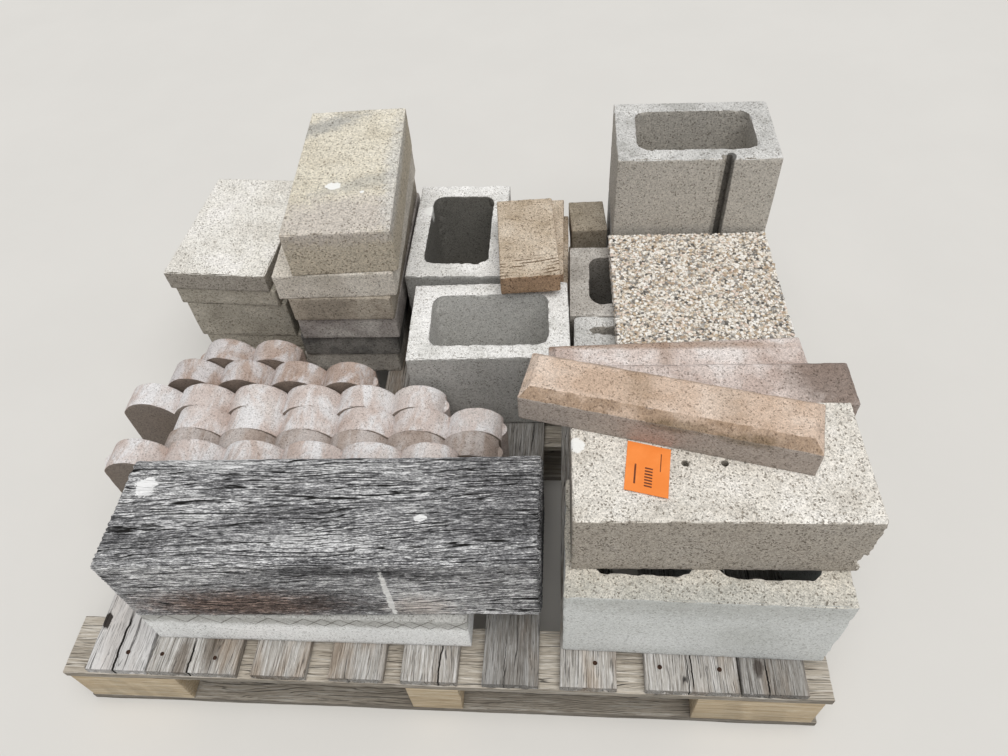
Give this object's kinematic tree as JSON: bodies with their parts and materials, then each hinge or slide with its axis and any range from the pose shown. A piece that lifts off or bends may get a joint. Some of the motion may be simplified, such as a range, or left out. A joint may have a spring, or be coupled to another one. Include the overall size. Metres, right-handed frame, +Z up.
{
  "type": "loaded masonry pallet",
  "caption": "Weathered block pallet loaded with a kerb stone, timber beam, scalloped edgers, concrete slabs, hollow blocks, a pebble slab, pavers and long edgers.",
  "frame": {"origin": "middle of the pallet's underside, on the floor", "axes": "+X along the pallet's long front edge, to the right as the picture shows it, +Y from the front to the back, +Z up"},
  "size_m": [1.2386, 1.0337, 0.526],
  "materials": {
    "deck_wood": "grey weathered sawn pine boards",
    "block_wood": "cleaner yellowish sawn pine",
    "beam_wood": "silvered and blackened rough sawn oak",
    "kerb_concrete": "pale smooth concrete with a rough upper band",
    "edger_concrete": "pinkish beige concrete with white bloom",
    "slab_concrete": "rough grey beige concrete",
    "cap_concrete": "brown grey concrete with dark stains",
    "stone_concrete": "beige concrete with grey bands",
    "block_concrete": "pale grey open textured block concrete",
    "beige_block_concrete": "pale beige block concrete",
    "pebble_concrete": "exposed pebble aggregate",
    "brown_paver_concrete": "tan brown gritty concrete",
    "dark_paver_concrete": "dark brown gritty concrete",
    "long_edger_concrete": "pinkish grey gritty concrete",
    "tan_edger_concrete": "tan gritty concrete"
  },
  "bodies": {
    "root": {"bottom_boards": "block_wood", "brown_paver_1": "brown_paver_concrete", "brown_paver_2": "brown_paver_concrete", "brown_paver_3": "brown_paver_concrete", "brown_paver_4": "brown_paver_concrete", "brown_paver_5": "brown_paver_concrete", "brown_paver_6": "brown_paver_concrete", "cap_slab_1": "cap_concrete", "cap_slab_2": "cap_concrete", "cap_slab_3": "cap_concrete", "cap_slab_4": "cap_concrete", "cap_slab_5": "cap_concrete", "dark_paver_1": "dark_paver_concrete", "dark_paver_2": "dark_paver_concrete", "dark_paver_3": "dark_paver_concrete", "deck_boards": "deck_wood", "far_edger_1": "long_edger_concrete", "far_edger_2": "long_edger_concrete", "kerb_stone": "kerb_concrete", "left_slab_1": "slab_concrete", "left_slab_2": "slab_concrete", "left_slab_3": "slab_concrete", "left_slab_4": "slab_concrete", "left_slab_5": "slab_concrete", "loose_edger": "tan_edger_concrete", "lower_block": "block_concrete", "middle_block": "block_concrete", "near_edger_1": "long_edger_concrete", "near_edger_2": "long_edger_concrete", "near_edger_3": "long_edger_concrete", "pallet_blocks": "block_wood", "paving_slab": "pebble_concrete", "right_back_block": "block_concrete", "right_front_block": "block_concrete", "right_middle_block": "block_concrete", "sash_block": "block_concrete", "scalloped_edger_1": "edger_concrete", "scalloped_edger_2": "edger_concrete", "scalloped_edger_3": "edger_concrete", "scalloped_edger_4": "edger_concrete", "scalloped_edger_5": "edger_concrete", "scalloped_edger_6": "edger_concrete", "slotted_block": "block_concrete", "stringer_boards": "deck_wood", "thick_stone": "stone_concrete", "timber_beam": "beam_wood", "turned_block": "block_concrete", "upper_block": "beige_block_concrete"}
  },
  "joints": []
}
